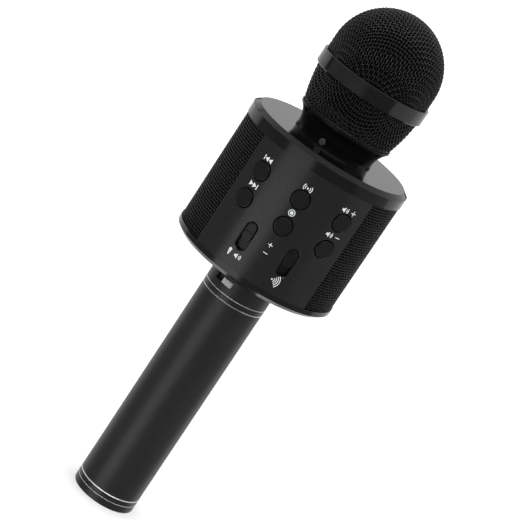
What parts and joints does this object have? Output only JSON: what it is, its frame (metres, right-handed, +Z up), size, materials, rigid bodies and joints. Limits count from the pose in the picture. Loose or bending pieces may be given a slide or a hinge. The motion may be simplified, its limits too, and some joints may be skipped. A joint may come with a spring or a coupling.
{
  "type": "karaoke microphone",
  "caption": "Handheld wireless karaoke microphone: ball grille head, flared neck, drum-shaped speaker body with buttons and sliders, and a slim cylindrical handle.",
  "frame": {"origin": "centre of the end cap's lower face, on which the microphone can stand", "axes": "+Z up along the handle towards the ball head; -Y is the front, with the buttons and sliders; +X is to the right of someone who looks at the front"},
  "size_m": [0.0774, 0.0782, 0.2546],
  "materials": {
    "handle": "satin anodised black with a soft sheen",
    "trim": "dark band with bright cut edges",
    "gloss_black": "high gloss black",
    "panel": "semi-gloss charcoal",
    "grille_mesh": "fine black metal mesh",
    "head_mesh": "woven wire, painted black",
    "band": "polished dark grey metal",
    "button": "smooth black",
    "switch_knob": "mid grey, satin",
    "foam": "open-cell black foam",
    "rubber": "matte black",
    "inner_plastic": "moulded black",
    "steel": "plated",
    "cell_wrap": "shrink sleeve",
    "flex_board": "polyimide film",
    "circuit_board": "solder mask",
    "paper": "pressed paper cone",
    "ferrite": "sintered",
    "lens": "translucent grey",
    "lead_sheath": "flexible sheath"
  },
  "bodies": {
    "housing": {"handle_tube": "handle", "tail_trim_ring": "trim", "upper_trim_ring": "trim", "handle_collar": "handle", "power_switch_body": "inner_plastic", "battery_sleeve": "inner_plastic", "battery_cell": "cell_wrap", "battery_contact": "steel", "battery_spring": "steel", "bottom_cover": "gloss_black", "top_cover": "gloss_black", "front_panel": "panel", "rear_panel": "panel", "side_grille_left": "grille_mesh", "side_grille_right": "grille_mesh", "chassis": "inner_plastic", "cover_screws": "steel", "button_board": "flex_board", "tact_switches": "inner_plastic", "slider_housings": "steel", "main_board": "circuit_board", "card_socket": "steel", "usb_socket": "steel", "charge_socket": "steel", "aux_jack_socket": "inner_plastic", "neck_housing": "gloss_black", "neck_lock_nut": "inner_plastic", "status_led_lens": "lens", "capsule_cushion": "rubber", "mic_capsule": "steel", "capsule_lead": "lead_sheath", "battery_leads": "lead_sheath", "speaker_leads": "lead_sheath", "speaker_frame_left": "steel", "speaker_cone_left": "paper", "speaker_magnet_left": "ferrite", "speaker_gasket_left": "rubber", "speaker_frame_right": "steel", "speaker_cone_right": "paper", "speaker_magnet_right": "ferrite", "speaker_gasket_right": "rubber"},
    "cap_seal": {"end_cap_seal": "rubber"},
    "end_cap": {"end_cap": "handle", "cap_contact": "steel"},
    "head_washer": {"grille_washer": "rubber"},
    "grille_head": {"grille_thread_ring": "steel", "grille_basket": "head_mesh", "grille_band": "band", "grille_dome": "head_mesh", "windscreen_foam": "foam"},
    "power_switch": {"power_switch_knob": "switch_knob"},
    "mic_volume_slider": {"mic_volume_slider": "button"},
    "echo_slider": {"echo_slider": "button"},
    "previous_button": {"previous_button": "button"},
    "scan_button": {"scan_button": "button"},
    "volume_up_button": {"volume_up_button": "button"},
    "next_button": {"next_button": "button"},
    "record_button": {"record_button": "button"},
    "volume_down_button": {"volume_down_button": "button"}
  },
  "joints": [
    {"name": "end_cap_travel", "type": "slide", "parent": "housing", "child": "cap_seal", "axis": [0, 0, -1], "range_m": [0, 0.006], "deforming": ["battery_spring"]},
    {"name": "end_cap_unscrew", "type": "hinge", "parent": "cap_seal", "child": "end_cap", "pos_m": [0, 0, 0], "axis": [0, 0, -1], "range_deg": [0, 1440]},
    {"name": "grille_head_travel", "type": "slide", "parent": "housing", "child": "head_washer", "axis": [0, 0, 1], "range_m": [0, 0.005]},
    {"name": "grille_head_unscrew", "type": "hinge", "parent": "head_washer", "child": "grille_head", "pos_m": [0, 0, 0.2001], "axis": [0, 0, 1], "range_deg": [0, 1440]},
    {"name": "power_switch_slide", "type": "slide", "parent": "housing", "child": "power_switch", "axis": [-0.8686, 0.4955, 0], "range_m": [0, 0.0038]},
    {"name": "mic_volume_slider_travel", "type": "slide", "parent": "housing", "child": "mic_volume_slider", "axis": [0, 0, 1], "range_m": [-0.0043, 0]},
    {"name": "echo_slider_travel", "type": "slide", "parent": "housing", "child": "echo_slider", "axis": [0, 0, 1], "range_m": [-0.0043, 0]},
    {"name": "previous_button_press", "type": "slide", "parent": "housing", "child": "previous_button", "axis": [0.509, 0.8607, 0], "range_m": [0, 0.0006], "stiffness_N_per_m": 300},
    {"name": "scan_button_press", "type": "slide", "parent": "housing", "child": "scan_button", "axis": [0, 1, 0], "range_m": [0, 0.0006], "stiffness_N_per_m": 300},
    {"name": "volume_up_button_press", "type": "slide", "parent": "housing", "child": "volume_up_button", "axis": [-0.509, 0.8607, 0], "range_m": [0, 0.0006], "stiffness_N_per_m": 300},
    {"name": "next_button_press", "type": "slide", "parent": "housing", "child": "next_button", "axis": [0.509, 0.8607, 0], "range_m": [0, 0.0006], "stiffness_N_per_m": 300},
    {"name": "record_button_press", "type": "slide", "parent": "housing", "child": "record_button", "axis": [0, 1, 0], "range_m": [0, 0.0006], "stiffness_N_per_m": 300},
    {"name": "volume_down_button_press", "type": "slide", "parent": "housing", "child": "volume_down_button", "axis": [-0.509, 0.8607, 0], "range_m": [0, 0.0006], "stiffness_N_per_m": 300}
  ],
  "couplings": [
    {"joint": "end_cap_travel", "follows": "end_cap_unscrew", "m_per_rad": 0.00023871},
    {"joint": "grille_head_travel", "follows": "grille_head_unscrew", "m_per_rad": 0.00019892}
  ]
}
